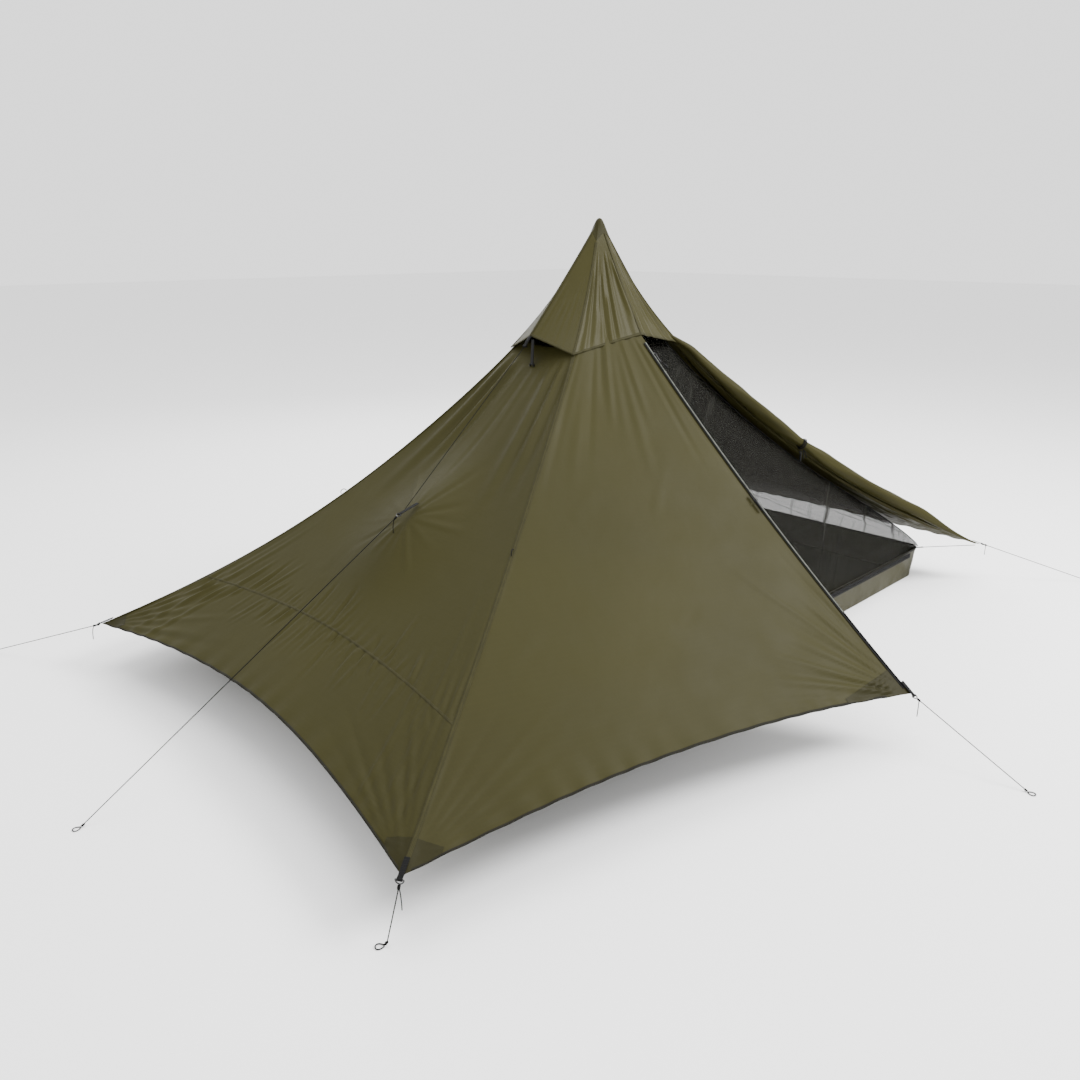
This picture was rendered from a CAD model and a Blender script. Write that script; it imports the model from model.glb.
"""Looks of a centre-pole pyramid tent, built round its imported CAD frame.  Metres."""
from math import asin, cos, hypot, pi, radians, sin

import bpy
import numpy as np
from mathutils import Matrix, Vector


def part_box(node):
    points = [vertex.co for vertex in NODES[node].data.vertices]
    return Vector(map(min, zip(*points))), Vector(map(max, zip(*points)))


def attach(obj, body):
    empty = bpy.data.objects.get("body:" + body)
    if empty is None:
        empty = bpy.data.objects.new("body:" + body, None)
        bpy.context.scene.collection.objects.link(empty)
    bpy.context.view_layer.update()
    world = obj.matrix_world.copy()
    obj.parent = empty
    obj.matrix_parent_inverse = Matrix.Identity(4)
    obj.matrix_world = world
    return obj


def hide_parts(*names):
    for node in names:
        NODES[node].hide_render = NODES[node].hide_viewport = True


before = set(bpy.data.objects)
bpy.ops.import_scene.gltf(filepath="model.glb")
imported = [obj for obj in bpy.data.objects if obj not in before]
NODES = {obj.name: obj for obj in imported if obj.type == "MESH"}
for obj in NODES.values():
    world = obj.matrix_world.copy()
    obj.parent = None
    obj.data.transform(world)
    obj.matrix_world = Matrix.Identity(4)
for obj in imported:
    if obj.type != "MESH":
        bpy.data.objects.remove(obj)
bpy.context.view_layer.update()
ROOT = "tent"
RNG = np.random.default_rng(20)

# ---- driving dimensions, the same as the CAD's ----
PEAK_Z = 1.400
CORNER_X, CORNER_Y, CORNER_Z = 1.440, 0.832, 0.155
DOOR_Y, DOOR_Z = 1.196, 0.155
RIDGE_EASE, RIDGE_FLARE, RIDGE_BOW = 1.27, 0.95, 0.048
DOOR_ARC_TOP = (0.165, 1.075)
DOOR_ARC_R = 10.0
PANEL_TOP = 0.15
HEM_CUT_END, HEM_CUT_SIDE = 0.06, 0.034
PULL_OUT, PULL_AT = 0.046, 0.565
# Flat cloth areas in square metres, from the CAD panels: half of each thin solid's surface.
SAG = 0.012                         # how far cloth draws in between its edges
CLOTH_T = 0.0011
CAP_LIFT, CAP_END = 0.004, 0.185
HOOD_TIP = (0.309, 1.049)
CAP_DOOR_EDGE = (0.190, 1.045)
TUB_LEFT, TUB_RIGHT, TUB_HALF_Y = -1.190, 1.320, 0.628
TUB_FLARE, TUB_H = 0.008, 0.125
FLOOR_Z = 0.0008
INNER_DROP, INNER_START, INNER_END = 0.036, 0.78, 0.05
ROLL_R, ROLL_TIE, ROLL_SPAN = 0.027, 0.505, (0.2, 0.955)
ROLL_FRONT, ROLL_RISE = 0.020, 0.025
ROLL_FOOT, ROLL_RUNOUT = 0.985, 0.80    # plan shares: where the roll ends, and where it starts to thin
INNER_ZIP_Y, INNER_ZIP_Z = 0.641, 0.108
INNER_ZIP_SPAN = (-1.120, 1.230)
FLY_ZIP_SPAN, PIPING_END = (0.05, 0.985), 0.80    # shares along the door ridge
PIPING_R = 0.0017
CORD_D, HOOD_CORD_D = 0.0025, 0.0020
UP = np.array([0.0, 0.0, 1.0])


# ---- surfaces of the tent ----
def vec(x, y, z):
    return np.stack(np.broadcast_arrays(x, y, z), -1).astype(float)


def mix(a, b, t):
    t = np.asarray(t, float)[..., None]
    return a * (1 - t) + b * t


def arch(v):
    return 4 * v * (1 - v)


def smooth(x, low, high):
    t = np.clip((x - low) / (high - low), 0, 1)
    return t * t * (3 - 2 * t)


def bell(x, width):
    return np.exp(-(x / width) ** 2)


def shares(count):
    """Column of even shares from 0 to 1."""
    return np.linspace(0, 1, count)[:, None]


def unit(a):
    return a / np.maximum(np.linalg.norm(a, axis=-1, keepdims=True), 1e-12)


def run_length(line):
    """Distance along a line at each of its points."""
    return np.concatenate([[0], np.cumsum(np.linalg.norm(np.diff(line, axis=0), axis=-1))])


def sample(place, length, values):
    """Rows of values at given distances along a line."""
    return np.stack([np.interp(place, length, values[:, k]) for k in range(values.shape[1])], -1)


def around(count):
    """Angles of a full turn, without the repeated last one."""
    return np.linspace(0, 2 * pi, count, endpoint=False)


def facing(out, row, col, way):
    """Normals, turned over if the one at row, col points against way."""
    return -out if out[row, col] @ way < 0 else out


def on_ridge(sx, sy, r, drop=0.0):
    """Corner ridge at plan share r, 0 at the peak and 1 at the corner."""
    r = np.asarray(r, float)
    fall = r * (1 + RIDGE_EASE) / (r + RIDGE_EASE) + RIDGE_FLARE * r * (1 - r) ** 8
    bow = RIDGE_BOW * np.sin(pi * r ** 1.3)
    diagonal = hypot(CORNER_X, CORNER_Y)
    x = CORNER_X * r - bow * CORNER_Y / diagonal
    y = CORNER_Y * r - bow * CORNER_X / diagonal
    return vec(sx * x, sy * y, PEAK_Z - (PEAK_Z - CORNER_Z) * fall - drop)


ARC_DY, ARC_DZ = DOOR_Y - DOOR_ARC_TOP[0], DOOR_Z - DOOR_ARC_TOP[1]
ARC_CHORD = hypot(ARC_DY, ARC_DZ)
ARC_HALF = asin(ARC_CHORD / 2 / DOOR_ARC_R)
ARC_OUT = (-ARC_DZ / ARC_CHORD, ARC_DY / ARC_CHORD)
ARC_ALONG = (ARC_DY / ARC_CHORD, ARC_DZ / ARC_CHORD)
ARC_CENTRE = (
    DOOR_ARC_TOP[0] + ARC_DY / 2 + ARC_OUT[0] * DOOR_ARC_R * cos(ARC_HALF),
    DOOR_ARC_TOP[1] + ARC_DZ / 2 + ARC_OUT[1] * DOOR_ARC_R * cos(ARC_HALF),
)


def on_door_ridge(sy, t, out=0.0):
    """Mid-side ridge, t from 0 at the top to 1 at its guyed corner."""
    turn = ARC_HALF * (2 * np.asarray(t, float) - 1)
    radius = DOOR_ARC_R - out
    y = ARC_CENTRE[0] + ARC_ALONG[0] * radius * np.sin(turn) - ARC_OUT[0] * radius * np.cos(turn)
    z = ARC_CENTRE[1] + ARC_ALONG[1] * radius * np.sin(turn) - ARC_OUT[1] * radius * np.cos(turn)
    return vec(0.0, sy * y, z)


def draw_in(p, share):
    scale = (1 - share)[..., None] * np.array([1.0, 1.0, 0.0]) + UP
    return p * scale


def end_surface(sx, u, v):
    """Short-side panel; v runs from the rear ridge to the front one."""
    p = draw_in(mix(on_ridge(sx, 1, u), on_ridge(sx, -1, u), v), SAG * arch(v) * np.sin(pi * u))
    pull = PULL_OUT * np.exp(-((u - PULL_AT) / 0.13) ** 2 - ((v - 0.5) / 0.17) ** 2)
    return p + np.array([sx * 0.55, 0, 0.83]) * pull[..., None]


def side_surface(sx, sy, u, v):
    """Long-side panel; v runs from its corner ridge to the mid-side ridge."""
    t = (u - PANEL_TOP) / (1 - PANEL_TOP)
    return draw_in(mix(on_ridge(sx, sy, u), on_door_ridge(sy, t), v), SAG * arch(v) * np.sin(pi * u))


# ---- meshes and materials ----
def put_in_scene(name, data):
    obj = bpy.data.objects.new(name, data)
    bpy.context.scene.collection.objects.link(obj)
    return obj


def settle(piece, slot, *replaced, body=ROOT):
    """Say which body a piece rides on, which CAD nodes it stands for, and its slot."""
    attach(piece, body)
    if replaced:
        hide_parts(*replaced)


def grid_mesh(name, points, material, wrap=False, flip=False, uv=None):
    """Quad mesh over rows x columns x 3 points, with UVs in metres unless given."""
    rows, cols = points.shape[:2]
    index = np.arange(rows * cols).reshape(rows, cols)
    right = np.roll(index, -1, axis=1) if wrap else index[:, 1:]
    left = index if wrap else index[:, :-1]
    quads = np.stack([left[:-1], right[:-1], right[1:], left[1:]], -1).reshape(-1, 4)
    if flip:
        quads = quads[:, ::-1]
    mesh = bpy.data.meshes.new(name)
    mesh.from_pydata(points.reshape(-1, 3).tolist(), [], quads.tolist())
    if uv is None:
        along = np.cumsum(np.linalg.norm(np.diff(points, axis=1, prepend=points[:, :1]), axis=-1), 1)
        down = np.cumsum(np.linalg.norm(np.diff(points, axis=0, prepend=points[:1]), axis=-1), 0)
        uv = np.stack([along, down], -1)
    layer = mesh.uv_layers.new(name="UVMap")
    corner = np.zeros(len(mesh.loops), np.int64)
    mesh.loops.foreach_get("vertex_index", corner)
    layer.data.foreach_set("uv", uv.reshape(-1, 2)[corner].astype(np.float32).ravel())
    mesh.materials.append(material)
    mesh.shade_smooth()
    return put_in_scene(name, mesh)


def thicken(obj):
    """Give a sheet its inner face."""
    modifier = obj.modifiers.new("thickness", "SOLIDIFY")
    modifier.thickness = CLOTH_T
    modifier.offset = -1.0
    modifier.use_even_offset = True
    with bpy.context.temp_override(object=obj, active_object=obj, selected_objects=[obj]):
        bpy.ops.object.modifier_apply(modifier=modifier.name)


def joined(name, objects):
    """One object from several, in order."""
    with bpy.context.temp_override(active_object=objects[0], object=objects[0],
                                   selected_editable_objects=objects, selected_objects=objects):
        bpy.ops.object.join()
    objects[0].name = name
    objects[0].data.name = name
    return objects[0]


def normals(points):
    """Unit normals of a grid, from its neighbours."""
    across = np.gradient(points, axis=1)
    down = np.gradient(points, axis=0)
    return unit(np.cross(across, down))


def tube(name, path, radius, material, sides=10, closed=False):
    """Round tube along points, with a radius that may vary."""
    path = np.asarray(path, float)
    radius = np.broadcast_to(np.asarray(radius, float), len(path))
    if closed:
        tangent = unit(np.roll(path, -1, 0) - np.roll(path, 1, 0))
    else:
        tangent = unit(np.gradient(path, axis=0))
    side = np.cross(tangent[0], UP if abs(tangent[0][2]) < 0.9 else np.array([1.0, 0, 0]))
    sides_list, side = [], unit(side)
    for t in tangent:
        side = unit(side - t * (side @ t))
        sides_list.append(side)
    side = np.array(sides_list)
    other = np.cross(tangent, side)
    angle = np.arange(sides) * 2 * pi / sides
    ring = side[:, None] * np.cos(angle)[None, :, None] + other[:, None] * np.sin(angle)[None, :, None]
    points = path[:, None] + ring * radius[:, None, None]
    if closed:
        points = np.concatenate([points, points[:1]])
    return grid_mesh(name, points, material, wrap=True, flip=True)


class Look:
    """A material under construction: its nodes are added by short calls."""

    def __init__(self, name, roughness=0.6, metallic=0.0, coat=0.0):
        self.material = bpy.data.materials.new(name)
        self.material.use_nodes = True
        self.tree = self.material.node_tree
        self.shader = self.tree.nodes["Principled BSDF"]
        self.shader.inputs["Roughness"].default_value = roughness
        self.shader.inputs["Metallic"].default_value = metallic
        self.shader.inputs["Coat Weight"].default_value = coat
        self.shader.inputs["IOR"].default_value = 1.22 if metallic == 0 and coat == 0 else 1.45
        self.height = None

    def node(self, kind, settings=(), **inputs):
        made = self.tree.nodes.new(kind)
        for key, value in dict(settings).items():
            setattr(made, key, value)
        for key, value in inputs.items():
            self.put(made.inputs[key.replace("_", " ")], value)
        return made

    def put(self, socket, value):
        if isinstance(value, bpy.types.NodeSocket):
            self.tree.links.new(value, socket)
        else:
            socket.default_value = value

    def math(self, operation, a, b=0.0):
        made = self.tree.nodes.new("ShaderNodeMath")
        made.operation = operation
        self.put(made.inputs[0], a)
        self.put(made.inputs[1], b)
        return made.outputs[0]

    def place(self, kind="Object", scale=(1, 1, 1)):
        coordinates = self.node("ShaderNodeTexCoord")
        mapping = self.node("ShaderNodeMapping", Vector=coordinates.outputs[kind], Scale=scale)
        return mapping.outputs[0]

    def noise(self, place, scale, detail=3.0, roughness=0.5):
        return self.node("ShaderNodeTexNoise", Vector=place, Scale=scale, Detail=detail,
                         Roughness=roughness).outputs["Fac"]

    def wave(self, place, scale, direction):
        return self.node("ShaderNodeTexWave", {"wave_type": "BANDS", "bands_direction": direction},
                         Vector=place, Scale=scale).outputs["Fac"]

    def colours(self, factor, dark, light, low=0.3, high=0.7):
        ramp = self.node("ShaderNodeValToRGB", Fac=factor)
        first, last = ramp.color_ramp.elements
        first.position, last.position = low, high
        first.color, last.color = (*dark, 1), (*light, 1)
        return ramp.outputs["Color"]

    def mottle(self, noise, colour, dark, light):
        return self.colours(noise, tone(colour, dark), tone(colour, light))

    def blend(self, factor, a, b, kind="MIX"):
        made = self.node("ShaderNodeMix", {"data_type": "RGBA", "blend_type": kind})
        self.put(made.inputs["Factor"], factor)
        self.put(made.inputs["A"], a if isinstance(a, bpy.types.NodeSocket) else (*a, 1))
        self.put(made.inputs["B"], b if isinstance(b, bpy.types.NodeSocket) else (*b, 1))
        return made.outputs["Result"]

    def bump(self, height, distance, strength=1.0):
        made = self.node("ShaderNodeBump", Height=height, Distance=distance, Strength=strength)
        if self.height is not None:
            self.tree.links.new(self.height, made.inputs["Normal"])
        self.height = made.outputs[0]
        self.tree.links.new(self.height, self.shader.inputs["Normal"])

    def colour(self, value):
        self.put(self.shader.inputs["Base Color"], value if isinstance(value, bpy.types.NodeSocket)
                 else (*value, 1))

    def rough(self, factor, low, high):
        spread = self.node("ShaderNodeMapRange", Value=factor, To_Min=low, To_Max=high)
        self.put(self.shader.inputs["Roughness"], spread.outputs[0])


def tone(colour, scale):
    return tuple(c * scale for c in colour)


def nylon(name, colour, roughness=0.50, crumple=1.0):
    """Coated ripstop nylon: plain weave, faint ripstop squares and soft crumples."""
    look = Look(name, roughness)
    look.shader.inputs["IOR"].default_value = 1.16
    place = look.place()
    patches = look.noise(place, 2.3, 4)
    cloth = look.mottle(patches, colour, 0.93, 1.07)
    threads = look.math("MULTIPLY", look.wave(place, 600, "X"), look.wave(place, 600, "Z"))
    squares = look.math("MAXIMUM", look.math("POWER", look.wave(place, 32, "X"), 40.0),
                        look.math("POWER", look.wave(place, 32, "Z"), 40.0))
    cloth = look.blend(look.math("MULTIPLY", squares, 0.10), cloth, tone(colour, 1.5))
    look.colour(cloth)
    look.rough(look.noise(place, 9.0, 4), roughness - 0.05, roughness + 0.09)
    look.bump(look.noise(place, 26.0, 5, 0.55), 0.0022 * crumple, 0.35)
    look.bump(threads, 0.0001, 0.25)
    return look.material


def netting(name, colour, cover):
    """Insect netting: fine holes that let most of the light through."""
    look = Look(name, 0.75)
    place = look.place("UV")
    threads = look.math("MAXIMUM", look.wave(place, 420, "X"), look.wave(place, 420, "Y"))
    hazy = look.math("ADD", look.math("MULTIPLY", threads, 0.24), cover - 0.17)
    streaks = look.node("ShaderNodeMapRange", Value=look.noise(look.place("UV", (16, 1.3, 1)), 1.0, 3),
                        From_Min=0.56, From_Max=0.72, To_Min=0.0, To_Max=0.32).outputs[0]
    cloudy = look.math("ADD", hazy, look.math("ADD", streaks, 0.05))
    look.put(look.shader.inputs["Alpha"], cloudy)
    look.colour(look.mottle(look.noise(place, 60.0), colour, 0.8, 1.3))
    look.bump(threads, 0.0002, 0.3)
    return look.material


def webbing(name, colour):
    """Woven tape: diagonal ribs across its width, fuzzy and matt."""
    look = Look(name, 0.8)
    place = look.place()
    ribs = look.math("MULTIPLY", look.wave(place, 130, "DIAGONAL"), look.wave(place, 170, "Z"))
    look.colour(look.blend(ribs, tone(colour, 0.7), tone(colour, 1.5)))
    look.bump(ribs, 0.0005, 0.7)
    look.bump(look.noise(place, 300.0), 0.0001, 0.4)
    return look.material


def braid(name, colour, pitch):
    """Braided cord: crossed helical strands."""
    look = Look(name, 0.75)
    place = look.place()
    strands = look.math("MULTIPLY", look.wave(place, pitch, "DIAGONAL"), look.wave(place, pitch, "Z"))
    look.colour(look.blend(strands, tone(colour, 0.6), tone(colour, 1.25)))
    look.bump(strands, 0.0004, 0.6)
    return look.material


def plastic(name, colour, roughness=0.38, coat=0.0):
    """Moulded plastic with a fine grain and rubbed patches."""
    look = Look(name, roughness, coat=coat)
    place = look.place()
    look.colour(look.mottle(look.noise(place, 90.0, 4), colour, 0.8, 1.35))
    look.rough(look.noise(place, 60.0), roughness - 0.08, roughness + 0.14)
    look.bump(look.noise(place, 900.0, 2), 0.0001, 0.25)
    return look.material


def alloy(name, colour, roughness=0.3, stretch=(1, 1, 0.02)):
    """Drawn and anodised metal, with fine lines along it."""
    look = Look(name, roughness, metallic=1.0)
    lines = look.noise(look.place("Object", stretch), 420.0, 3)
    look.colour(look.mottle(lines, colour, 0.82, 1.1))
    look.rough(look.noise(look.place(), 30.0), roughness - 0.05, roughness + 0.12)
    look.bump(lines, 0.00005, 0.25)
    return look.material


def stitched(name, colour, thread, pitch=0.0042, inset=0.2):
    """Seam tape whose UVs run 0 to 1 across it and in metres along it, with two rows of stitches."""
    look = Look(name, 0.7)
    place = look.place("UV")
    parts = look.node("ShaderNodeSeparateXYZ", Vector=place)
    across, along = parts.outputs[0], parts.outputs[1]
    centred = look.math("ABSOLUTE", look.math("SUBTRACT", across, 0.5))
    row = look.math("LESS_THAN", look.math("ABSOLUTE", look.math("SUBTRACT", centred, 0.5 - inset)), 0.055)
    dash = look.math("GREATER_THAN", look.math("FRACT", look.math("DIVIDE", along, pitch)), 0.34)
    stitch = look.math("MULTIPLY", row, dash)
    base = look.mottle(look.noise(look.place(), 40.0), colour, 0.85, 1.15)
    look.colour(look.blend(stitch, base, thread))
    pucker = look.noise(look.place("UV", (1.2, 110, 1)), 1.0, 2)
    look.bump(pucker, 0.0012, 0.5)
    look.bump(stitch, 0.0005, 0.8)
    return look.material


OLIVE = (0.0240, 0.0219, 0.0058)
LOOKS = {
    "fly": nylon("fly_nylon", OLIVE),
    "cap": nylon("cap_nylon", tone(OLIVE, 1.08), roughness=0.40, crumple=0.8),
    "crown": nylon("crown_nylon", tone(OLIVE, 0.72)),
    "roll": nylon("rolled_nylon", tone(OLIVE, 1.02), crumple=1.3),
    "patch": nylon("corner_patch_nylon", tone(OLIVE, 0.62), crumple=0.5),
    "tub": nylon("tub_nylon", tone(OLIVE, 0.95), roughness=0.38, crumple=1.2),
    "pad": nylon("pad_nylon", (0.006, 0.006, 0.006), roughness=0.6),
    "seam": stitched("ridge_seam_tape", tone(OLIVE, 0.93), tone(OLIVE, 0.55)),
    "binding": stitched("black_binding", (0.0062, 0.0058, 0.0028), (0.010, 0.009, 0.005), inset=0.3),
    "net": netting("insect_netting", (0.0038, 0.0037, 0.0020), 0.60),
    "vent_net": netting("vent_netting", (0.003, 0.003, 0.003), 0.72),
    "webbing": webbing("black_webbing", (0.0045, 0.0045, 0.0045)),
    "cord": braid("guyline_braid", (0.0022, 0.0022, 0.0019), 420),
    "thin_cord": braid("thin_cord_braid", (0.002, 0.002, 0.002), 520),
    "plastic": plastic("black_plastic", (0.005, 0.005, 0.005)),
    "ring": plastic("glossy_ring_plastic", (0.004, 0.004, 0.004), 0.25, coat=0.3),
    "zip_tape": webbing("zip_tape_weave", (0.004, 0.004, 0.004)),
    "piping": plastic("grey_zip_piping", (0.10, 0.105, 0.09), 0.55),
    "coil": plastic("zip_coil_plastic", (0.006, 0.006, 0.006), 0.3),
    "slider": alloy("black_zip_metal", (0.035, 0.035, 0.035), 0.35),
    "pole": alloy("anodised_pole", (0.36, 0.36, 0.38), 0.3),
    "elastic": webbing("elastic_loop", (0.004, 0.004, 0.004)),
    "eyelet": alloy("bright_eyelet", (0.62, 0.62, 0.60), 0.3),
}


# ---- camera ----
SENSOR, LENS = 36.0, 88.0 / 3       # millimetres
EYE = Vector((-2.228, -2.046, 1.335))
PITCH, HEADING = radians(18.805), radians(46.192)


def camera():
    data = bpy.data.cameras.new("view")
    data.sensor_width = SENSOR
    data.lens = LENS
    data.clip_start, data.clip_end = 0.05, 60.0
    look = Vector((cos(PITCH) * cos(HEADING), cos(PITCH) * sin(HEADING), -sin(PITCH)))
    right = Vector((sin(HEADING), -cos(HEADING), 0))
    up = right.cross(look)
    turn = Matrix((right, up, -look)).transposed().to_4x4()
    obj = put_in_scene("view", data)
    obj.matrix_world = Matrix.Translation(EYE) @ turn
    bpy.context.scene.camera = obj


# ---- cords ----
def rod_ends(node):
    """Axis ends of a straight CAD cord, upper end first."""
    points = np.array([v.co for v in NODES[node].data.vertices], float)
    middle = points.mean(0)
    axis = np.linalg.svd(points - middle, full_matrices=False)[2][0]
    reach = (points - middle) @ axis
    ends = [middle + axis * reach.min(), middle + axis * reach.max()]
    return sorted(ends, key=lambda p: -p[2])


def taut_curve(name, a, b, diameter, material):
    """Straight cord: a smooth curve whose control points lie on the pulled line."""
    data = bpy.data.curves.new(name, "CURVE")
    data.dimensions = "3D"
    data.bevel_depth = diameter / 2
    data.bevel_resolution = 3
    data.use_fill_caps = True
    spline = data.splines.new("NURBS")
    shares = (0.0, 0.03, 0.97, 1.0)
    spline.points.add(len(shares) - 1)
    for point, share in zip(spline.points, shares):
        point.co = (*(a * (1 - share) + b * share), 1)
    spline.order_u = 3
    spline.use_endpoint_u = True
    data.materials.append(material)
    return put_in_scene(name, data)


GUYLINES = ("guyline_front_left", "guyline_rear_left", "guyline_door", "guyline_front_right",
            "guyline_side")
KNOT_L, KNOT_WIND = 0.009, 0.0022
EYE_R = 0.009


def frame_on(axis):
    side = unit(np.cross(axis, UP) if abs(axis[2]) < 0.95 else np.cross(axis, np.array([1.0, 0, 0])))
    return side, np.cross(axis, side)


def wound(start, axis, length, turns, radius=KNOT_WIND):
    """Helix of a cord wound about an axis."""
    side, other = frame_on(axis)
    t = np.linspace(0, 1, turns * 12)[:, None]
    angle = t * turns * 2 * pi
    ends = np.minimum(1, np.minimum(t, 1 - t) * 9 + 0.35)
    return start + axis * length * t + (side * np.cos(angle) + other * np.sin(angle)) * radius * ends


def tail(start, out, length):
    """Loose end of a knotted cord: leaves sideways and droops."""
    t = shares(14)
    return start + out * (0.35 * length * (1 - (1 - t) ** 2)) - UP * length * (0.25 * t + 0.72 * t ** 2)


def guylines():
    """Five taut guylines, each with its wound knot, loose tail and knotted peg eye."""
    for k, node in enumerate(GUYLINES):
        top, foot = rod_ends(node)
        down = unit(foot - top)
        knot = tube("wind", wound(top - down * 0.0002, -down, KNOT_L, 4), CORD_D / 2, LOOKS["cord"])
        side = frame_on(down)[0] * (-1) ** k
        room = min(0.045, top[2] * 0.5)
        loose = tube("tail", tail(top - down * 0.004, side * 0.55 + down * 0.3, room),
                     CORD_D / 2 * 0.92, LOOKS["cord"])
        knot = joined(node + "_knot", [knot, loose])
        flat = unit(down * np.array([1.0, 1.0, 0.0]))
        centre = foot + flat * (EYE_R + 0.0058)
        centre[2] = CORD_D / 2 + 0.0002
        angle = around(40)[:, None]
        across = np.array([-flat[1], flat[0], 0.0])
        narrow = 1 - 0.28 * np.cos(angle)
        loop = centre - flat * EYE_R * np.cos(angle) + across * EYE_R * np.sin(angle) * narrow * 0.82
        lift = foot - down * 0.004
        bind = tube("bind", wound(lift, unit(centre - flat * EYE_R - lift), 0.0085, 3, 0.0021),
                    CORD_D / 2 * 0.9, LOOKS["cord"])
        eye = joined(node + "_peg_eye", [tube("loop", loop, CORD_D / 2, LOOKS["cord"], closed=True), bind])
        line = taut_curve(node + "_line", top, foot, CORD_D, LOOKS["cord"])
        settle(line, "cord", node)
        settle(knot, "cord", *(("guyline_knots",) if k == 0 else ()))
        settle(eye, "cord", *(("guyline_peg_eyes",) if k == 0 else ()))


def short_cords():
    """The left hood's cord and the inner's corner cord, both pulled straight."""
    for node, diameter in (("hood_cord_left", HOOD_CORD_D), ("inner_corner_cord", CORD_D)):
        top, foot = rod_ends(node)
        line = taut_curve(node + "_line", top, foot, diameter, LOOKS["thin_cord"])
        settle(line, "cord", node)


# ---- fly ----
END_COLS, SIDE_COLS, ROWS = 210, 165, 170
# Each panel in turn round the tent: its surface, whether v runs backwards, its columns and hem cut.
PANELS = (
    ("front_left", lambda u, v: side_surface(-1, -1, u, v), True, SIDE_COLS, HEM_CUT_SIDE),
    ("left", lambda u, v: end_surface(-1, u, v), True, END_COLS, HEM_CUT_END),
    ("rear_left", lambda u, v: side_surface(-1, 1, u, v), False, SIDE_COLS, HEM_CUT_SIDE),
    ("rear_right", lambda u, v: side_surface(1, 1, u, v), True, SIDE_COLS, HEM_CUT_SIDE),
    ("right", lambda u, v: end_surface(1, u, v), False, END_COLS, HEM_CUT_END),
)
VENT_DIP = 0.022                    # the short sides start lower under the hoods
FOLD_FADE = 0.018                   # folds die out over this width beside a ridge
ZIP_STRIP = 0.013                   # flat cloth beside the zip, where its slider runs
END_SEAM = (0.815, -0.030)          # plan share of the short sides' cross seam, and its dip


def panel_axes(surface):
    """Flat axes across and up one panel, for folds that run straight over it."""
    corner_a = surface(np.array(1.0), np.array(0.0))
    corner_b = surface(np.array(1.0), np.array(1.0))
    top = surface(np.array(0.2), np.array(0.5))
    across = unit(corner_b - corner_a)
    up = top - (corner_a + corner_b) / 2
    up = unit(up - across * (up @ across))
    return np.stack([across, up], -1)


def crease(flat, a, b, width, depth, spread=0.7):
    """Height of one fold from a to b over flat points; it starts narrow at a if spread is near 1."""
    run = b - a
    length = np.linalg.norm(run)
    run = run / length
    rel = flat - a
    t = (rel @ run) / length
    off = rel[..., 0] * run[1] - rel[..., 1] * run[0]
    inside = np.clip(t, 0, 1)
    wide = width * (1 - spread + spread * inside)
    rise = smooth(t, 0.0, 0.14) * (1 - smooth(t, 0.45, 1.0))
    s = off / np.maximum(wide, 1e-4)
    return depth * rise * (np.exp(-s * s) - 0.35 * np.exp(-(np.abs(s) - 1.7) ** 2))


def toward(angle):
    return np.array([np.cos(angle), np.sin(angle)])


def either_way(low, high):
    """Random size between low and high, up or down."""
    return RNG.uniform(low, high) * RNG.choice([-1, 1])


def fan(flat, corner, first, last, count, reach, width, depth):
    """Folds that spread from a pulled corner between two directions."""
    height = np.zeros(flat.shape[:2])
    a0, a1 = np.arctan2(first[1], first[0]), np.arctan2(last[1], last[0])
    a1 = a0 + (a1 - a0 + pi) % (2 * pi) - pi
    for k in range(count):
        share = (k + RNG.uniform(0.2, 0.8)) / count
        angle = a0 + (a1 - a0) * (0.05 + 0.9 * share)
        length = reach * RNG.uniform(0.45, 1.0)
        way = toward(angle)
        sign = 1 if k % 2 else -0.8
        size = RNG.uniform(0.5, 1.0)
        height += crease(flat, corner + way * 0.03, corner + way * length, width * RNG.uniform(0.6, 1.2),
                         depth * size * sign, 0.75)
    return height


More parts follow.
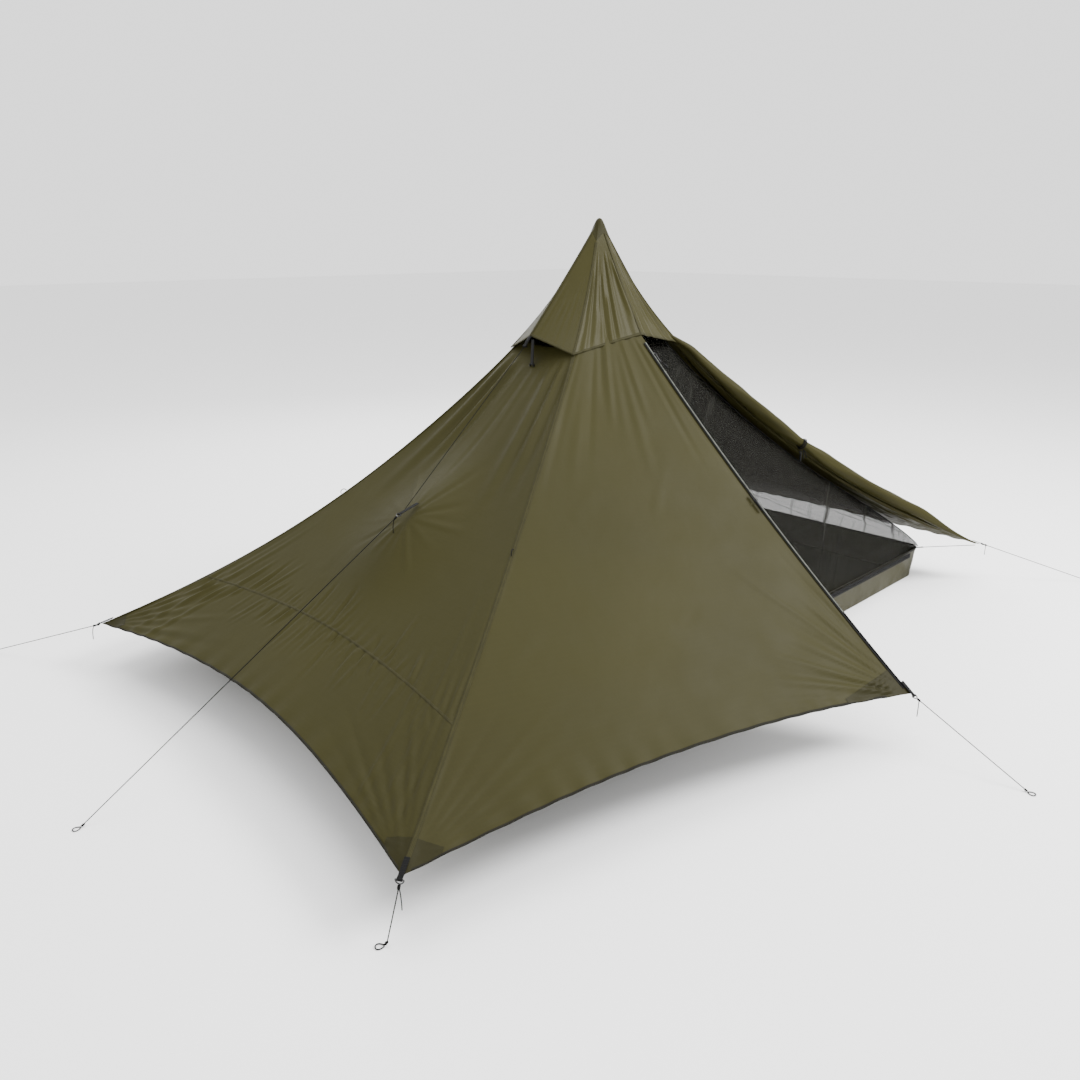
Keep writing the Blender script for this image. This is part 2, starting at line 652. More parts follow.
def panel_folds(name, surface, flat, u, v, axes):
    """Heights of all the folds of one panel."""
    def at(a, b):
        return surface(np.array(float(a)), np.array(float(b))) @ axes

    height = np.zeros(u.shape)
    end = name in ("left", "right")
    strong = {"front_left": (0.0016, 0.0034), "left": (0.0020, 0.0020)}.get(name, (0.0018, 0.0020))
    hem_cut = HEM_CUT_END if end else HEM_CUT_SIDE
    for side, power in ((0, strong[0]), (1, strong[1])):
        corner = at(1, side)
        ridge_way = at(0.8, side) - corner
        hem_way = at(1 - hem_cut * arch(0.12), 0.12 if side == 0 else 0.88) - corner
        height += fan(flat, corner, ridge_way, hem_way, 11, 0.75, 0.016, power)
    for k in range(12):
        across = (k + RNG.uniform(0.25, 0.75)) / 12
        length = RNG.uniform(0.08, 0.34)
        start, stop = at(0.16 + 0.05 * arch(across) * end, across), at(0.2 + length, across)
        height += crease(flat, start, stop, RNG.uniform(0.010, 0.020), RNG.uniform(-0.0026, 0.0030), 0.3)
    if end:
        tab = at(PULL_AT, 0.5)
        for angle in np.linspace(0, 2 * pi, 13)[:-1] + 0.2:
            way = toward(angle)
            length = RNG.uniform(0.16, 0.42)
            height += crease(flat, tab + way * 0.02, tab + way * length, 0.016,
                             either_way(0.0008, 0.0022), 0.7)
        for a, b in ((0.10, 0.16), (0.22, 0.26), (0.78, 0.74), (0.90, 0.84)):
            height += crease(flat, at(0.19, a), at(RNG.uniform(0.42, 0.60), b), 0.026, 0.0052, 0.35)
            height += crease(flat, at(0.20, a + 0.045), at(0.5, b + 0.04), 0.018, -0.0040, 0.35)
        for a in (0.035, 0.075, 0.125, 0.875, 0.925, 0.965):
            height += crease(flat, at(0.985, 0.5 + (a - 0.5) * 0.985), at(RNG.uniform(0.55, 0.7), a), 0.010,
                             either_way(0.0016, 0.0030), 0.2)
        seam_u = END_SEAM[0] + END_SEAM[1] * arch(v)
        off = (u - seam_u) * 1.75
        along = flat[..., 0]
        ripple = np.sin(along * 2 * pi / 0.034 + 2.0 * np.sin(along * 13) + np.sign(off) * 0.9)
        swell = 0.55 + 0.45 * np.sin(along * 7.3 + 1)
        height += 0.0016 * ripple * swell * np.exp(-(np.abs(off) / 0.045) ** 1.3)
        for k in range(84):
            across = (k + RNG.uniform(0.1, 0.9)) / 84
            reach = either_way(0.03, 0.11)
            base = END_SEAM[0] + END_SEAM[1] * arch(across)
            lean = RNG.uniform(-0.02, 0.02)
            height += crease(flat, at(base, across), at(base + reach, across + lean), 0.0085,
                             either_way(0.0010, 0.0030), 0.4)
    waves = np.sin(flat[..., 0] * 5.1 + 1.3) * np.sin(flat[..., 1] * 3.7 + 0.4)
    waves += 0.6 * np.sin(flat[..., 0] * 9.7 + flat[..., 1] * 6.1)
    height += 0.0022 * waves
    for k in range(10):
        middle = at(RNG.uniform(0.35, 0.92), RNG.uniform(0.1, 0.9))
        angle = RNG.uniform(0, pi)
        way = toward(angle) * RNG.uniform(0.05, 0.16)
        height += crease(flat, middle - way, middle + way, RNG.uniform(0.014, 0.034),
                         RNG.uniform(-0.0007, 0.0007), 0.1)
    hem = 1 - hem_cut * arch(v)
    height += 0.0020 * np.sin(flat[..., 0] * 2 * pi / 0.085 + 1.5 * np.sin(flat[..., 0] * 9)) * np.exp(
        -(hem - u) / 0.022)
    width = np.linalg.norm(surface(u, np.ones(u.shape)) - surface(u, np.zeros(u.shape)), axis=-1)
    strip = ZIP_STRIP if name == "front_left" else 0.0
    taut = smooth(v * width, 0.0, FOLD_FADE) * smooth((1 - v) * width, strip, strip + FOLD_FADE)
    return height * taut


def short_side_top(v):
    """Where a short side starts, below its hood."""
    return PANEL_TOP + 0.001 + VENT_DIP * arch(v) ** 0.7


def fly_grid():
    """Points of the whole fly, one sheet from the zip round to the open door's ridge."""
    blocks = []
    for name, surface, backwards, cols, cut in PANELS:
        v = np.linspace(0, 1, cols + 1)
        v = v[::-1] if backwards else v
        top = short_side_top(v) if cut == HEM_CUT_END else np.full(v.shape, PANEL_TOP + 0.001)
        bottom = 1 - cut * arch(v)
        share = shares(ROWS)
        u = top * (1 - share) + bottom * share
        vv = np.broadcast_to(v, u.shape)
        points = surface(u, vv)
        axes = panel_axes(surface)
        out = facing(normals(points), ROWS // 2, cols // 2, UP)
        folds = panel_folds(name, surface, points @ axes, u, vv, axes)
        points = points + out * folds[..., None]
        blocks.append(points if name == PANELS[-1][0] else points[:, :-1])
    return np.concatenate(blocks, axis=1)


def panel_starts():
    counts = [0]
    for panel in PANELS:
        counts.append(counts[-1] + panel[3])
    return counts


def ribbon(name, centre, side, out, profile, material):
    """Strip along a line; profile is (across, up) pairs in metres."""
    columns = [centre + side * a + out * h for a, h in profile]
    points = np.stack(columns, axis=1)
    length = run_length(centre)
    widths = np.array([a for a, _ in profile])
    share = (widths - widths.min()) / max(np.ptp(widths), 1e-6)
    uv = np.stack(np.broadcast_arrays(share[None, :], length[:, None]), -1)
    return grid_mesh(name, points, material, uv=uv)


SEAM_PROFILE = ((-0.0052, -0.0004), (-0.0050, 0.0005), (-0.003, 0.0009), (0.0, 0.0006), (0.003, 0.0009),
                (0.0050, 0.0005), (0.0052, -0.0004))
BINDING_PROFILE = ((-0.0062, 0.0002), (-0.006, 0.0009), (-0.003, 0.0011), (-0.0005, 0.0010),
                   (0.0010, 0.0000), (-0.0005, -0.0021), (-0.003, -0.0023), (-0.006, -0.0021),
                   (-0.0062, -0.0012))


def seam_along(line, lift, across=1.0, up=1.0):
    """Stitched seam on a line, with its profile scaled."""
    side = unit(np.cross(unit(np.gradient(line, axis=0)), lift))
    profile = [(a * across, h * up) for a, h in SEAM_PROFILE]
    return ribbon("seam", line, side, lift, profile, LOOKS["seam"])


def fly(points):
    sheet = grid_mesh("fly_canopy", points, LOOKS["fly"])
    thicken(sheet)
    settle(sheet, "fly_fabric",
           *["fly_panel_" + n for n in ("left", "right", "front", "rear_left", "rear_right")])
    out = normals(points)
    starts = panel_starts()
    seams = []
    for column in starts[1:5]:
        seams.append(seam_along(points[1:-4, column], unit(out[1:-4, column])))
    for k in (1, 4):
        v = np.linspace(0, 1, END_COLS + 1)
        seam_u = END_SEAM[0] + END_SEAM[1] * arch(v)
        top = short_side_top(v)
        bottom = 1 - HEM_CUT_END * arch(v)
        row = (seam_u - top) / (bottom - top) * (ROWS - 1)
        low = row.astype(int)
        share = (row - low)[:, None]
        column = starts[k] + np.arange(END_COLS + 1)
        line = points[low, column] * (1 - share) + points[low + 1, column] * share
        seams.append(seam_along(line, unit(out[low, column]), across=0.62))
    seam_piece = joined("fly_seams", seams)
    settle(seam_piece, "fly_fabric")
    bands = []
    for k in range(5):
        a, b = starts[k] + (2 if k else 9), starts[k + 1] - 2
        line = points[-1, a:b + 1]
        down = unit(points[-1, a:b + 1] - points[-3, a:b + 1])
        lift = unit(out[-2, a:b + 1])
        bands.append(ribbon("band", line, down, lift, BINDING_PROFILE, LOOKS["binding"]))
    band_piece = joined("hem_binding_folded", bands)
    settle(band_piece, "binding", "hem_binding")
    return out


PATCH_DEPTH, PATCH_LIFT = 0.085, 0.0008
PATCH_ROWS, PATCH_COLS, PATCH_STEPS = 30, 46, 64      # the fly's rows and columns a patch may cover


def corner_patches(points, out):
    """Darker doubled cloth sewn over the six guyed corners."""
    starts = panel_starts()
    patches = []
    for k in range(6):
        centre = starts[k]
        low = centre if k == 0 else centre - PATCH_COLS
        high = centre if k == 5 else centre + PATCH_COLS
        region = points[-PATCH_ROWS:, low:high + 1]
        lift = out[-PATCH_ROWS:, low:high + 1]
        corner = points[-1, centre]
        inward = unit(points[-PATCH_ROWS, centre] - corner)
        reach = (region - corner) @ inward
        rows = []
        for j in range(region.shape[1]):
            first = np.flatnonzero(reach[:, j] < PATCH_DEPTH)
            if len(first) < 3 or first[0] == 0:
                continue
            low_row = first[0] - 1
            step = (reach[low_row, j] - PATCH_DEPTH) / (reach[low_row, j] - reach[low_row + 1, j])
            index = np.linspace(low_row + step, region.shape[0] - 1, PATCH_STEPS)
            base = np.minimum(index.astype(int), region.shape[0] - 2)
            share = (index - base)[:, None]
            line, raised = (values[base, j] * (1 - share) + values[base + 1, j] * share
                            for values in (region, lift))
            rows.append(line + raised * PATCH_LIFT)
        if len(rows) > 2:
            patches.append(grid_mesh("patch", np.stack(rows, axis=1), LOOKS["patch"]))
    settle(joined("corner_patches", patches), "fly_fabric")


# ---- cap and hoods ----
CAP_LINES = (("door", 0, -1), ("ridge", -1, -1), ("hood", -1, 0), ("ridge", -1, 1), ("door", 0, 1),
             ("ridge", 1, 1), ("hood", 1, 0), ("ridge", 1, -1))
CAP_COLS, CAP_ROWS = 34, 110
CROWN_SHARE, CROWN_BLEND = 0.1, 0.13  # how far down the cap the dome and its blend reach
CROWN_R, CROWN_H, CROWN_TOP = 0.0168, 0.024, 1.4028


def cap_curve(kind, sx, sy, s):
    """Radial lines of the cap, from the peak down to its lower edge."""
    s = np.asarray(s, float)
    if kind == "ridge":
        return on_ridge(sx, sy, CAP_END * s) + np.array([sx, sy, 1.0]) * CAP_LIFT
    if kind == "hood":
        reach, z = HOOD_TIP
        return vec(sx * reach * s ** 1.05, 0.0, PEAK_Z + CAP_LIFT - (PEAK_Z - z) * s)
    reach, z = CAP_DOOR_EDGE
    return vec(0.0, sy * (reach * s ** 1.1 + CAP_LIFT), PEAK_Z + CAP_LIFT - (PEAK_Z - z) * s)


def cap_points():
    s = shares(CAP_ROWS)
    blocks = []
    for k, line in enumerate(CAP_LINES):
        following = CAP_LINES[(k + 1) % len(CAP_LINES)]
        v = np.linspace(0, 1, CAP_COLS, endpoint=False)[None, :]
        ss, vv = np.broadcast_arrays(s, v)
        body = mix(cap_curve(*line, ss), cap_curve(*following, ss), vv)
        sag = 0.006 if "hood" in (line[0], following[0]) else 0.009
        body = draw_in(body, sag * arch(vv) * smooth(ss, 0.1, 0.6) * 2)
        blocks.append(body)
    body = np.concatenate(blocks, axis=1)
    angle = np.arctan2(body[-1, :, 1], body[-1, :, 0])
    dome = np.clip(s / CROWN_SHARE, 0, 1)
    radius = CROWN_R * np.sin(dome * pi / 2)
    crown = vec(radius * np.cos(angle), radius * np.sin(angle),
                CROWN_TOP - CROWN_H * (1 - np.cos(dome * pi / 2)) - np.maximum(s - CROWN_SHARE, 0) * 0.4)
    return mix(crown, body, smooth(np.broadcast_to(s, body.shape[:2]), 0.0, CROWN_BLEND))


def cap_folds(points):
    """Long folds that hang down the cap, strongest on its front."""
    height = np.zeros(points.shape[:2])
    s = shares(CAP_ROWS)
    column = np.arange(points.shape[1])[None, :] / CAP_COLS
    for k in range(8):
        steep = {7: 1.0, 0: 1.0, 3: 0.8, 4: 0.8}.get(k, 0.35)
        for j in range(9):
            centre = k + (j + RNG.uniform(0.15, 0.85)) / 9
            start, stop = RNG.uniform(0.12, 0.6), RNG.uniform(0.75, 1.05)
            lean = RNG.uniform(-0.12, 0.12)
            spread = RNG.uniform(0.022, 0.048)
            off = (column - centre - lean * (s - 0.6) + 4) % 8 - 4
            rise = smooth(s, start, start + 0.15) * (1 - smooth(s, stop - 0.05, stop + 0.12))
            size = RNG.uniform(0.4, 1.0) * RNG.choice([1, 1, -1]) * 0.0042 * steep
            valley = 0.4 * np.exp(-(np.abs(off / spread) - 1.7) ** 2)
            height += size * rise * (bell(off, spread) - valley)
    edge = np.abs((column + 0.5) % 1 - 0.5)
    return height * (0.35 + 0.65 * smooth(edge, 0.0, 0.05)) * smooth(s, 0.1, 0.25)


def cap():
    points = cap_points()
    closed = np.concatenate([points[:, -1:], points, points[:, :1]], axis=1)
    away = points[CAP_ROWS // 2, 10] * np.array([1, 1, 0])
    out = facing(normals(closed)[:, 1:-1], CAP_ROWS // 2, 10, away)
    points = points + out * cap_folds(points)[..., None]
    sheet = grid_mesh("peak_cap_sheet", points[1:], LOOKS["cap"], wrap=True)
    thicken(sheet)
    settle(sheet, "cap_fabric", "peak_cap", "vent_hood_left", "vent_hood_right")
    line = np.concatenate([points[-1], points[-1, :1]])
    down = np.concatenate([unit(points[-1] - points[-3]), unit(points[-1, :1] - points[-3, :1])])
    lift = np.concatenate([out[-1], out[-1, :1]])
    profile = ((-0.0092, 0.0001), (-0.009, 0.0006), (-0.004, 0.0008), (-0.0004, 0.0006), (0.0006, -0.0006),
               (-0.0004, -0.0018), (-0.004, -0.0019), (-0.009, -0.0018), (-0.0092, -0.0012))
    hem = ribbon("cap_hem", line, down, lift, profile, LOOKS["seam"])
    seams = [seam_along(points[14:-1, column], out[14:-1, column], 0.7, 0.8)
             for column in range(0, 8 * CAP_COLS, CAP_COLS)]
    hem = joined("cap_hem_and_seams", [hem] + seams)
    settle(hem, "cap_fabric")
    crown = grid_mesh("crown_patch", points[1:14] + out[1:14] * 0.0007, LOOKS["crown"], wrap=True)
    settle(crown, "crown_fabric", "peak_crown")


def vents():
    """Netting over the two vents, under the hoods."""
    for name, sx in (("left", -1), ("right", 1)):
        share = shares(30)
        v = np.linspace(0.03, 0.97, 50)
        bottom = PANEL_TOP + 0.012 + VENT_DIP * arch(v) ** 0.7
        u = 0.05 * (1 - share) + bottom * share
        points = end_surface(sx, u, np.broadcast_to(v, u.shape))
        points = draw_in(points, np.full(u.shape, 0.010))
        net = grid_mesh("vent_netting_" + name, points, LOOKS["vent_net"])
        settle(net, "mesh", *(("vent_meshes",) if name == "left" else ()))


def hood_strap():
    """Short webbing strap and bright eyelet at the left hood's tip, where its cord starts."""
    tip = np.array([-HOOD_TIP[0], 0.0, HOOD_TIP[1]])
    foot = rod_ends("hood_cord_left")[0]
    share = shares(10)
    line = (tip + np.array([0.020, 0, 0.012])) * (1 - share) + foot * share
    line = line + np.array([-0.5, 0, 0.85]) * 0.006 * np.sin(pi * share)
    side = vec(np.zeros(10), 1.0, 0.0)
    out = vec(np.full(10, -0.6), 0.0, 0.8)
    strap = ribbon("strap", line, side, out, ((-0.006, -0.0007), (-0.006, 0.0007), (0.006, 0.0007),
                                              (0.006, -0.0007), (-0.006, -0.0007)), LOOKS["webbing"])
    fold = tube("fold", vec(foot[0], np.linspace(-0.0065, 0.0065, 8), foot[2]), 0.0042,
                LOOKS["webbing"], 14)
    strap = joined("hood_tip_strap", [strap, fold])
    angle = around(28)
    centre = line[1] + out[0] * 0.0018
    ring = vec(centre[0] + 0.0042 * np.cos(angle) * 0.8, 0.0042 * np.sin(angle),
               centre[2] + 0.0042 * np.cos(angle) * 0.6)
    eyelet = tube("hood_tip_eyelet", ring, 0.0012, LOOKS["eyelet"], 10, closed=True)
    settle(strap, "webbing")
    settle(eyelet, "zip_metal")


# ---- rolled door ----
ROLL_TURNS, ROLL_CORE = 8.0, 0.26    # turns chosen so that the roll holds about DOOR_CUT of cloth


def roll_centre(r):
    r = np.asarray(r, float)
    rise = 0.007 + (ROLL_RISE - 0.007) * np.minimum(1.0, r / 0.55)
    return on_ridge(1, -1, r) + vec(0.0, -ROLL_FRONT, rise)


def roll_radius(r):
    start, end = ROLL_SPAN
    ends = np.minimum(1.0, np.minimum(0.42 + 4.5 * (r - start), 0.33 + 3.0 * (end - r)))
    return ROLL_R * ends * (1 - 0.42 * bell(r - ROLL_TIE, 0.042))


def rolled_door():
    """The open door, rolled up along its ridge and pinched by its tie."""
    rows = 160
    r = np.linspace(ROLL_SPAN[0] - 0.050, ROLL_FOOT, rows)
    tucked = smooth(r, ROLL_SPAN[0] - 0.050, ROLL_SPAN[0] + 0.012)
    runout = 1 - smooth(r, ROLL_RUNOUT, ROLL_FOOT)
    centre = mix(on_ridge(1, -1, r, 0.006), roll_centre(r), tucked)
    centre = mix(on_ridge(1, -1, r, 0.003) - vec(0.0, 0.005, 0.0), centre, runout)
    along = unit(roll_centre(r + 0.004) - roll_centre(r - 0.004))
    to_ridge = on_ridge(1, -1, r) - centre
    to_ridge = unit(to_ridge - along * np.sum(to_ridge * along, -1, keepdims=True))
    other = np.cross(along, to_ridge)
    turns = np.linspace(0, ROLL_TURNS, int(ROLL_TURNS * 26))
    angle = turns * 2 * pi + 0.5
    radius = 1 - (1 - ROLL_CORE) * turns / ROLL_TURNS
    size = np.maximum(roll_radius(np.minimum(r, ROLL_RUNOUT)), 0.010 * tucked + 0.002)
    size = (size * runout + 0.0035 * (1 - runout))[:, None] * 0.97
    tie = np.exp(-np.abs(r - ROLL_TIE) / 0.06)[:, None]
    twist = r[:, None] * 9 + angle[None, :]
    lumps = 0.075 * np.sin(2 * twist) + 0.05 * np.sin(3 * angle[None, :] - r[:, None] * 23)
    lumps = lumps + 0.05 * np.sin(angle[None, :] * 7 + 2 * np.sin(r[:, None] * 40)) * tie
    lumps = lumps + 0.022 * np.sin(angle[None, :] * 5 + r[:, None] * 61)
    lumps = lumps + 0.024 * np.sin(angle[None, :] * 11 + 3 * np.sin(r[:, None] * 17))
    reach = size * (radius[None, :] * (0.95 + lumps * smooth(radius[None, :], 0.4, 0.9)))
    body = (centre[:, None] + to_ridge[:, None] * (np.cos(angle)[None, :, None] * reach[..., None])
            + other[:, None] * (np.sin(angle)[None, :, None] * reach[..., None]))
    edge = end_surface(1, r, np.full(rows, 0.985)) - UP * 0.0035
    leader = np.stack([mix(edge, body[:, 0], np.full(rows, t)) for t in (0.0, 0.25, 0.5, 0.75)], axis=1)
    points = np.concatenate([leader, body], axis=1)
    sheet = grid_mesh("door_rolled", points, LOOKS["roll"])
    bands = []
    for shift in (-0.0045, 0.0, 0.0045):
        angle = around(40)
        row = int(np.argmin(np.abs(r - ROLL_TIE - shift)))
        reach_here = size[row, 0] * 1.06 + 0.0012
        loop = (centre[row] + to_ridge[row] * (np.cos(angle) * reach_here)[:, None]
                + other[row] * (np.sin(angle) * reach_here)[:, None])
        bands.append(tube("band", loop, 0.0022, LOOKS["elastic"], 10, closed=True))
    low = centre[np.argmin(np.abs(r - ROLL_TIE))] - UP * (ROLL_R * 0.62) - vec(0.0, 0.004, 0.0)
    for lean in (-0.012, 0.010):
        t = shares(12)
        bands.append(tube("end", low + np.array([lean, -0.010, 0.0]) * t - UP * (0.034 * t ** 1.3), 0.0018,
                          LOOKS["elastic"], 8))
    bands = joined("roll_tie_band", bands)
    settle(bands, "elastic")
    settle(sheet, "fly_fabric", "door_roll")


# ---- zips ----
def coil_zip(name, line, side, out, material, pitch=0.0025, wide=0.0026):
    """Half of a coil zip: one small loop of the coil for each pitch."""
    length = run_length(line)
    count = int(length[-1] / pitch)
    place = np.arange(count * 8) / 8 * pitch
    middle, across, up = (sample(place, length, values) for values in (line, side, out))
    angle = (np.arange(count * 8) * 2 * pi / 8)[:, None]
    path = middle + across * wide / 2 * np.cos(angle) + up * 0.0009 * np.sin(angle)
    return tube(name, path, 0.00045, material, sides=5)


def fly_zip():
    t = np.linspace(*FLY_ZIP_SPAN, 240)
    line = on_door_ridge(-1, t)
    along = unit(np.gradient(line, axis=0))
    side = vec(np.full(len(t), -1.0), 0.0, 0.0)
    out = unit(np.cross(side, along))
    out = out if out[0] @ UP > 0 else -out
    tape = ribbon("zip_tape", line - side * 0.0015, side, out,
                  ((0.0, -0.0002), (0.0004, 0.0002), (0.006, 0.0003), (0.0135, 0.0002), (0.014, -0.0003)),
                  LOOKS["zip_tape"])
    coil = coil_zip("zip_coil", line, side, out, LOOKS["coil"])
    upper = t < PIPING_END
    edge = line + side * 0.0045 + out * 0.0012
    piping = tube("zip_piping", edge[upper], PIPING_R, LOOKS["piping"], 8)
    lower = tube("zip_edge", edge[~upper], PIPING_R, LOOKS["zip_tape"], 8)
    piece = joined("fly_zip_half", [tape, coil, piping, lower])
    settle(piece, "zip_tape", "fly_zip_track")


def inner_zip():
    x = np.linspace(*INNER_ZIP_SPAN, 200)
    line = vec(x, -INNER_ZIP_Y, INNER_ZIP_Z)
    side = vec(np.zeros(len(x)), 0.0, 1.0)
    out = vec(np.zeros(len(x)), -1.0, 0.0)
    tape = ribbon("tape", line + out * 0.0003, side, out,
                  ((-0.0105, -0.0004), (-0.010, 0.0), (-0.0023, 0.0002), (0.0023, 0.0002), (0.010, 0.0),
                   (0.0105, -0.0004)), LOOKS["zip_tape"])
    coil = coil_zip("coil", line + out * 0.0002, side, out, LOOKS["coil"], wide=0.0040)
    piece = joined("inner_zip_coil", [tape, coil])
    settle(piece, "zip_tape", "inner_zip_track")


def zip_cord_pull():
    """Knotted cord through the fly zip's pull, so gloves can grip it."""
    low, high = (np.array(c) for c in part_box("fly_zip_pull"))
    end = np.array([(low[0] + high[0]) / 2, low[1] + 0.003, low[2] + 0.003])
    along = unit(on_door_ridge(-1, np.array(0.12)) - on_door_ridge(-1, np.array(0.08)))
    out = unit(np.cross(np.array([-1.0, 0.0, 0.0]), along))
    out = out if out @ UP > 0 else -out
    t = shares(16)
    pieces = []
    for lean in (-1, 1):
        line = end + along * (0.018 * t) + out * (0.0015 + 0.0060 * t)
        line = line + np.array([lean * 0.0022, 0, 0]) * np.sin(pi * t)
        pieces.append(tube("loop", line, 0.0012, LOOKS["thin_cord"], 8))
    grip = end + along * (0.015 + 0.014 * t) + out * (0.0068 + 0.0020 * t)
    pieces.append(tube("grip", grip, 0.0034 * np.minimum(1, np.minimum(t[:, 0], 1 - t[:, 0]) * 6 + 0.45),
                       LOOKS["plastic"], 14))
    settle(joined("fly_zip_cord_pull", pieces), "cord", body="fly_pull")


# ---- inner tent ----
def inner_edge(sx, sy, w):
    """Corner edge of the inner, w from 0 at the tub to 1 under the peak."""
    x = TUB_RIGHT if sx > 0 else -TUB_LEFT
    lean = TUB_FLARE - 0.004
    foot = np.array([sx * (x + lean), sy * (TUB_HALF_Y + lean), TUB_H])
    under = on_ridge(sx, sy, INNER_START * (1 - w) + INNER_END * w, INNER_DROP)
    rise = 1 - (1 - np.minimum(1.0, w / 0.25)) ** 2
    return mix(foot, under, rise)


def inner_walls():
    w = shares(90)
    corners = ((-1, -1), (1, -1), (1, 1), (-1, 1))
    blocks = []
    for k, corner in enumerate(corners):
        following = corners[(k + 1) % 4]
        v = np.linspace(0, 1, 90, endpoint=False)[None, :]
        ww, vv = np.broadcast_arrays(w, v)
        wall = mix(inner_edge(*corner, ww), inner_edge(*following, ww), vv)
        wall = draw_in(wall, 0.02 * arch(vv) * np.sin(pi * ww))
        out = facing(normals(wall), 40, 40, wall[40, 40] * np.array([1, 1, 0]))
        along = vv * np.linalg.norm(inner_edge(*corner, ww) - inner_edge(*following, ww), axis=-1)
        height = np.zeros(ww.shape)
        for j in range(10):
            top, foot = RNG.uniform(0, 1), RNG.uniform(0, 1)
            off = (vv - (foot * (1 - ww) + top * ww)) * max(along.max(), 0.4)
            height += RNG.uniform(-0.005, 0.005) * bell(off, 0.02)
        for side_v in (0.0, 1.0):
            for j in range(7):
                slope = RNG.uniform(0.2, 2.2)
                off = np.abs(vv - side_v) * 2.4 - ww * slope
                fade = 1 - smooth(ww, 0.1, 0.45)
                height += 0.0035 * RNG.choice([-1, 1]) * bell(off, 0.02) * fade
        blocks.append(wall + out * (height * smooth(np.minimum(vv, 1 - vv), 0, 0.03))[..., None])
    points = np.concatenate(blocks, axis=1)
    net = grid_mesh("inner_netting", points, LOOKS["net"], wrap=True)
    settle(net, "mesh", "inner_mesh_left", "inner_mesh_right", "inner_mesh_front", "inner_mesh_rear")
    piece = joined("inner_edge_tapes", [tube("edge", points[1:, k * 90], 0.0016, LOOKS["zip_tape"], 6)
                                        for k in range(4)])
    settle(piece, "zip_tape")


def rounded_outline(inset, z, count, radius=0.045):
    """Loop of points round the tub, its corners rounded."""
    lean = TUB_FLARE / TUB_H * z - inset
    low, high, half = TUB_LEFT - lean, TUB_RIGHT + lean, TUB_HALF_Y + lean
    corner = max(radius - inset, 0.0005)
    centres = ((high - corner, half - corner), (low + corner, half - corner),
               (low + corner, -half + corner), (high - corner, -half + corner))
    turn = np.linspace(0, pi / 2, 12)
    loop = [np.array([cx + corner * np.cos(a + k * pi / 2), cy + corner * np.sin(a + k * pi / 2)])
            for k, (cx, cy) in enumerate(centres) for a in turn]
    loop = np.array(loop + loop[:1])
    length = run_length(loop)
    place = np.linspace(0, length[-1], count, endpoint=False)
    return np.column_stack([sample(place, length, loop), np.full(count, z)])


def tub():
    """Bathtub groundsheet: puckered walls, a flat floor and a taped rim."""
    count = 640
    rings = [(0.0006, z) for z in np.linspace(TUB_H, 0.004, 22)] + [(0.002, 0.0016), (0.006, 0.0009)]
    rings += [(inset, FLOOR_Z) for inset in (0.03, 0.12, 0.28, 0.45, 0.60, 0.6265)]
    rows = [rounded_outline(inset, z, count) for inset, z in rings]
    points = np.stack(rows)
    out = unit(points[0] - points[0].mean(0)) * np.array([1, 1, 0])
    along = np.arange(count) / count
    corner_near = np.abs(((along * 4 + 0.5) % 1) - 0.5)
    z = points[..., 2]
    ripple = np.sin(along * 2 * pi * 61 + 3 * np.sin(along * 40))[None, :]
    ripple = ripple * bell(z - 0.012, 0.02)
    slack = np.sin(along[None, :] * 2 * pi * 23 + z / TUB_H * 2.2)
    slant = np.sin(along[None, :] * 2 * pi * 47 + z / TUB_H * 4.1 + 2 * np.sin(along[None, :] * 60))
    swell = np.sin(np.clip(z / TUB_H, 0, 1) * pi)
    height = 0.0016 * ripple + (0.0022 * slack + 0.0018 * slant) * swell
    points = points - out[None] * (np.abs(height) * (z > 0.003) * (0.6 + corner_near))[..., None]
    sheet = grid_mesh("tub_sheet", points, LOOKS["tub"], wrap=True)
    settle(sheet, "tub_fabric", "groundsheet")
    loop = np.concatenate([points[0], points[0, :1]])
    side = np.broadcast_to(UP, loop.shape)
    outward = np.concatenate([out, out[:1]])
    rim = ribbon("rim", loop, side, outward,
                 ((-0.008, 0.0004), (-0.0078, 0.0014), (0.0, 0.0016), (0.002, 0.0), (0.0, -0.0016),
                  (-0.0078, -0.0014), (-0.008, -0.0004)), LOOKS["binding"])
    rim.name = "tub_rim"
    settle(rim, "tub_fabric")


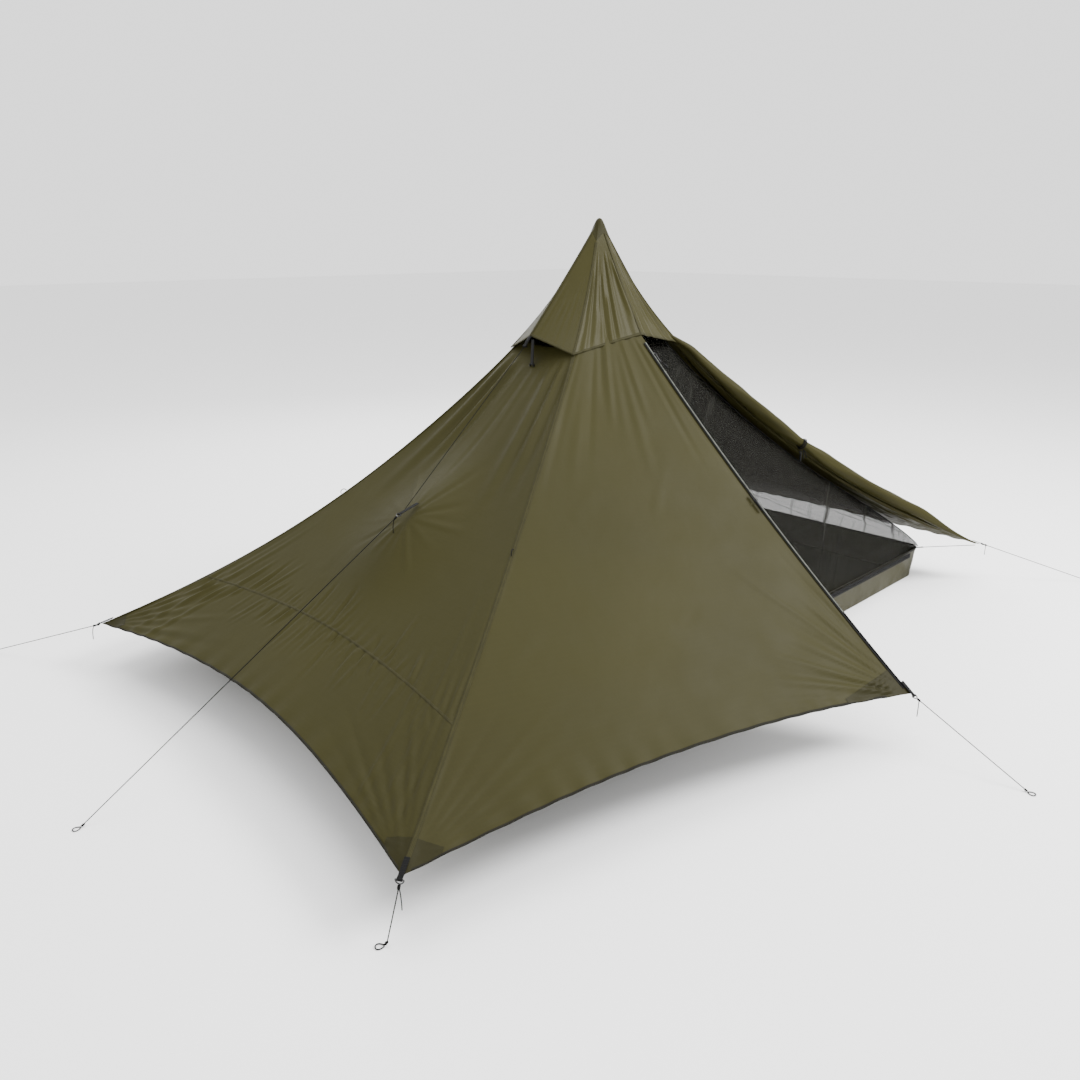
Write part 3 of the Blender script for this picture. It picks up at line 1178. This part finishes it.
# ---- materials of the CAD pieces that stay ----
KEPT = {
    "webbing": ("corner_webbing", "pull_out_tabs", "spare_toggle_tab", "ridge_loops"),
    "ring": ("guyline_rings", "ring_rear_right", "ring_rear", "ring_pull_out"),
    "plastic": ("vent_prop_left", "vent_prop_right", "door_toggle", "spare_toggle", "tub_hooks",
                "prop_brackets", "pole_foot", "pole_cup", "pole_tip", "pole_clamp_lower",
                "pole_clamp_upper", "pole_lever_lower", "pole_lever_upper"),
    "slider": ("fly_zip_slider", "fly_zip_pull", "inner_zip_slider", "inner_zip_pull"),
    "pole": ("pole_lower", "pole_middle", "pole_upper"),
    "elastic": ("door_tie",),
    "pad": ("pole_pad", "inner_peak_patch"),
}


def dress_cad():
    for look, nodes in KEPT.items():
        for node in nodes:
            data = NODES[node].data
            data.materials.clear()
            data.materials.append(LOOKS[look])
            data.shade_smooth()
            modifier = NODES[node].modifiers.new("edges", "EDGE_SPLIT")
            modifier.split_angle = radians(35)


# ---- studio ----
FLOOR_HALF, FLOOR_DROP = 30.0, 0.0006
WORLD_STRENGTH = 1.75
# Disk lights: name, place, target, size in metres and power in watts.
LIGHTS = (
    ("key", (2.2, -3.4, 4.4), (0.0, -0.3, 0.3), 2.6, 560),
    ("top", (-0.4, 0.4, 5.2), (0, 0, 0), 4.0, 220),
    ("rim", (1.5, 3.6, 3.0), (0, 0, 0.8), 2.0, 80),
)


def studio():
    white = Look("studio_white", 0.9)
    white.colour((0.9, 0.9, 0.9))
    corners = np.array([[[x, y, -FLOOR_DROP] for x in (-FLOOR_HALF, FLOOR_HALF)]
                        for y in (-FLOOR_HALF, FLOOR_HALF)])
    grid_mesh("studio_floor", corners, white.material)
    world = bpy.data.worlds.new("studio_light")
    world.use_nodes = True
    background = world.node_tree.nodes["Background"].inputs
    background["Color"].default_value = (1, 1, 1, 1)
    background["Strength"].default_value = WORLD_STRENGTH
    bpy.context.scene.world = world
    for name, place, target, size, power in LIGHTS:
        data = bpy.data.lights.new(name, "AREA")
        data.shape = "DISK"
        data.size = size
        data.energy = power
        light = put_in_scene(name, data)
        light.location = place
        light.rotation_euler = (Vector(target) - Vector(place)).to_track_quat("-Z", "Y").to_euler()


camera()
guylines()
short_cords()
fly_points = fly_grid()
fly_out = fly(fly_points)
corner_patches(fly_points, fly_out)
cap()
vents()
hood_strap()
rolled_door()
fly_zip()
zip_cord_pull()
inner_zip()
inner_walls()
tub()
dress_cad()
studio()
